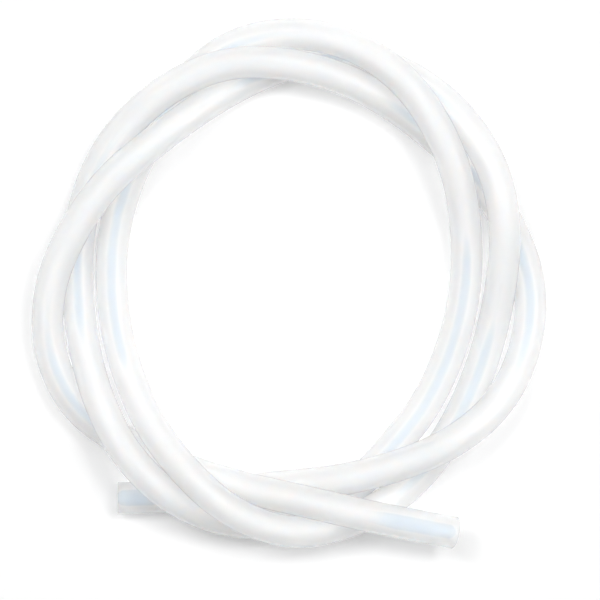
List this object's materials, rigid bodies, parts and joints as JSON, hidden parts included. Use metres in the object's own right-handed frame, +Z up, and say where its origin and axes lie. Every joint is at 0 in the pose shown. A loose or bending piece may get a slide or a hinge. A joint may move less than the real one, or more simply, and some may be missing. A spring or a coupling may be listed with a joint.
{
  "type": "silicone tubing coil",
  "caption": "Length of clear flexible lab tubing lying in a loose interlaced coil, with open ends that take barbed fittings.",
  "frame": {"origin": "middle of the coil's box in plan, on the surface it lies on", "axes": "+Z up out of that surface, -Y towards the side where the open ends cross"},
  "size_m": [0.129, 0.1326, 0.0229],
  "materials": {
    "silicone": "translucent milky silicone, smooth and slightly glossy"
  },
  "bodies": {
    "root": {"silicone_tube": "silicone"}
  },
  "joints": []
}
